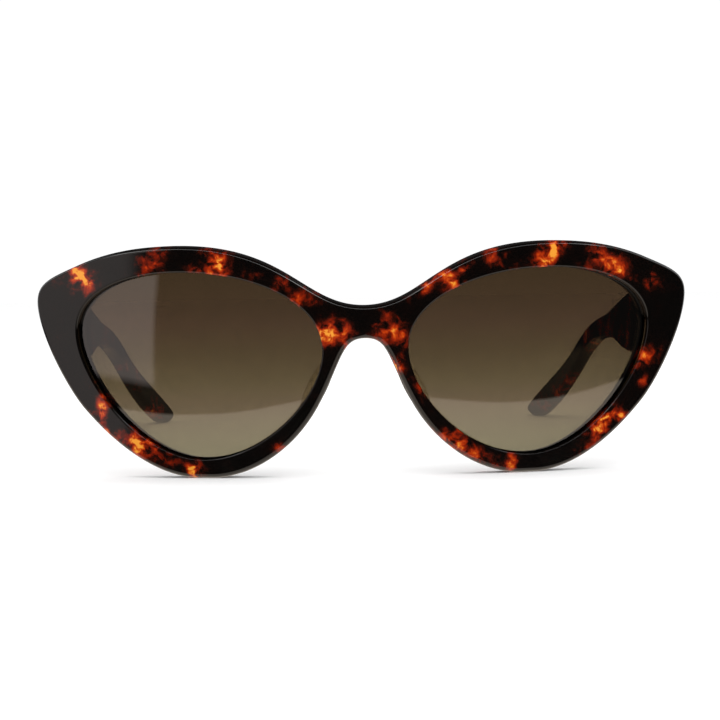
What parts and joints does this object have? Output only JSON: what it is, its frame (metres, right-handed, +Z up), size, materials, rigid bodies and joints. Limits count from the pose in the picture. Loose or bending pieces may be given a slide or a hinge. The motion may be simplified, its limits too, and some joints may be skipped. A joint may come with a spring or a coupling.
{
  "type": "cat eye sunglasses",
  "caption": "Cat eye sunglasses with an upswept tortoise acetate front, brown gradient lenses, glued nose pads and acetate temples that fold on barrel hinges.",
  "frame": {"origin": "on the table plane, at the middle of the bounding box's base", "axes": "+Z up from the table, +Y back along the temples, away from the front, +X towards the wearer's left"},
  "size_m": [0.1408, 0.1464, 0.0494],
  "materials": {
    "front_acetate": "polished dark tortoise acetate with amber patches",
    "temple_acetate": "polished dark tortoise acetate",
    "pad_acetate": "clear acetate with a warm cast, a little cloudy",
    "lens_tint": "brown gradient tint, darker at the top",
    "hinge_metal": "satin nickel silver",
    "screw_metal": "turned steel, slotted head",
    "wire_metal": "plain drawn wire"
  },
  "bodies": {
    "front": {"front_frame": "front_acetate", "lens_left": "lens_tint", "lens_right": "lens_tint", "nose_pad_left": "pad_acetate", "nose_pad_right": "pad_acetate", "front_hinge_left": "hinge_metal", "front_hinge_right": "hinge_metal", "hinge_screw_left": "screw_metal", "hinge_screw_right": "screw_metal"},
    "left_arm": {"temple_left": "temple_acetate", "temple_hinge_left": "hinge_metal", "core_wire_left": "wire_metal"},
    "right_arm": {"temple_right": "temple_acetate", "temple_hinge_right": "hinge_metal", "core_wire_right": "wire_metal"}
  },
  "joints": [
    {"name": "left_temple_fold", "type": "hinge", "parent": "front", "child": "left_arm", "pos_m": [0.06299, -0.05531, 0.03668], "axis": [0, 0.1011, 0.9949], "range_deg": [0, 87]},
    {"name": "right_temple_fold", "type": "hinge", "parent": "front", "child": "right_arm", "pos_m": [-0.06299, -0.05531, 0.03668], "axis": [0, -0.1011, -0.9949], "range_deg": [0, 70]}
  ]
}
